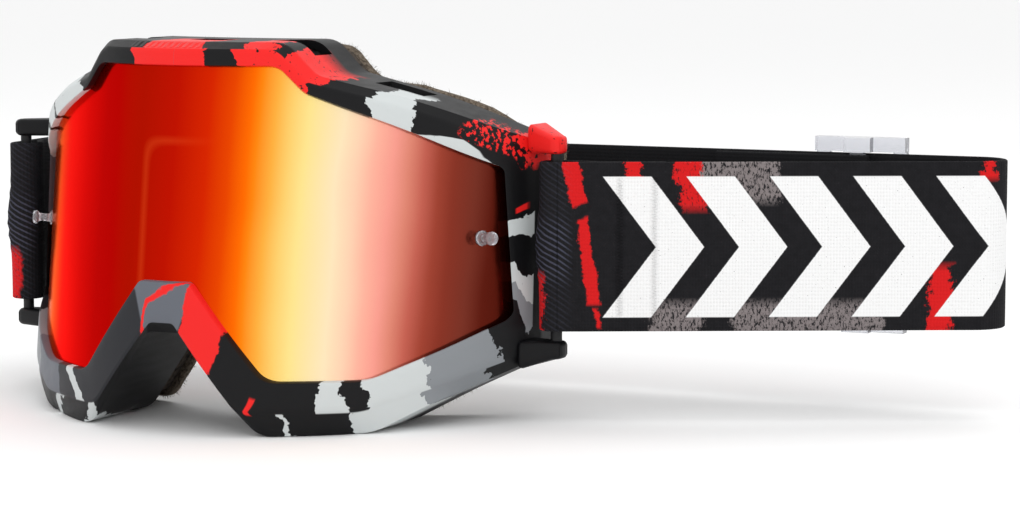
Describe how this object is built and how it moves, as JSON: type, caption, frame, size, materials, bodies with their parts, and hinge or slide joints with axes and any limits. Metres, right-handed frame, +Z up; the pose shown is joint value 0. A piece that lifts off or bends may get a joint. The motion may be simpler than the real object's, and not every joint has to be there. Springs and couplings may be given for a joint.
{
  "type": "motorcycle goggles",
  "caption": "Wrap-round goggles with a mirrored lens in a printed flexible frame, layered face foam, and a wide elastic strap folded to one side.",
  "frame": {"origin": "on the surface the goggles stand on, under the middle of the whole object's box, strap included", "axes": "+X to the wearer's left, -Y the way the lens faces, +Z up; the nose's middle plane is at x = -0.0502 m"},
  "size_m": [0.2962, 0.136, 0.1058],
  "materials": {
    "frame_tpu": "printed torn-brush camouflage in black, greys and red, satin",
    "lens_mirror": "mirrored red to gold coating on bent polycarbonate",
    "clear_plastic": "clear moulded",
    "clip_plastic": "plain",
    "foam_dark": "open-cell foam",
    "fleece": "short brushed fleece",
    "filter_foam": "coarse open-cell filter foam",
    "webbing": "elastic webbing with printed pattern",
    "thread": "bonded thread",
    "slide_plastic": "moulded acetal, satin",
    "silicone": "soft silicone"
  },
  "bodies": {
    "frame": {"frame_moulding": "frame_tpu", "lens": "lens_mirror", "tear_off_post_left": "clear_plastic", "tear_off_post_right": "clear_plastic", "post_clip_left": "clip_plastic", "post_clip_right": "clip_plastic", "face_foam_base": "foam_dark", "face_foam_middle": "foam_dark", "face_fleece": "fleece", "vent_filter_brow": "filter_foam", "vent_filter_cheek_left": "filter_foam", "vent_filter_cheek_right": "filter_foam"},
    "strap_left": {"strap_web_left": "webbing", "bar_tack_left": "thread", "grip_beads": "silicone"},
    "strap_rear": {"strap_web_rear": "webbing"},
    "strap_right": {"strap_web_right": "webbing", "bar_tack_right": "thread"},
    "slide_left": {"strap_slide_left": "slide_plastic", "strap_tail_left": "webbing"},
    "slide_right": {"strap_slide_right": "slide_plastic", "strap_tail_right": "webbing"}
  },
  "joints": [
    {"name": "strap_swing", "type": "hinge", "parent": "frame", "child": "strap_left", "pos_m": [0.0376, -0.00202, 0.049], "axis": [0, 0, 1], "range_deg": [-10, 12]},
    {"name": "strap_fold", "type": "hinge", "parent": "strap_left", "child": "strap_rear", "pos_m": [0.1382, 0.05598, 0.049], "axis": [0, 0, 1], "range_deg": [-8.39, 7.02]},
    {"name": "strap_bend", "type": "hinge", "parent": "strap_rear", "child": "strap_right", "pos_m": [-0.1252, 0.03798, 0.049], "axis": [0, 0, 1], "range_deg": [-10.35, 12.38]},
    {"name": "slide_left_travel", "type": "slide", "parent": "strap_rear", "child": "slide_left", "axis": [-0.9998, -0.019, 0], "range_m": [-0.014, 0.012]},
    {"name": "slide_right_travel", "type": "slide", "parent": "strap_rear", "child": "slide_right", "axis": [-0.9998, -0.019, 0], "range_m": [-0.012, 0.02]}
  ],
  "couplings": [
    {"joint": "strap_fold", "follows": "strap_swing", "ratio": -0.6823},
    {"joint": "strap_bend", "follows": "strap_swing", "ratio": 1.0154}
  ]
}
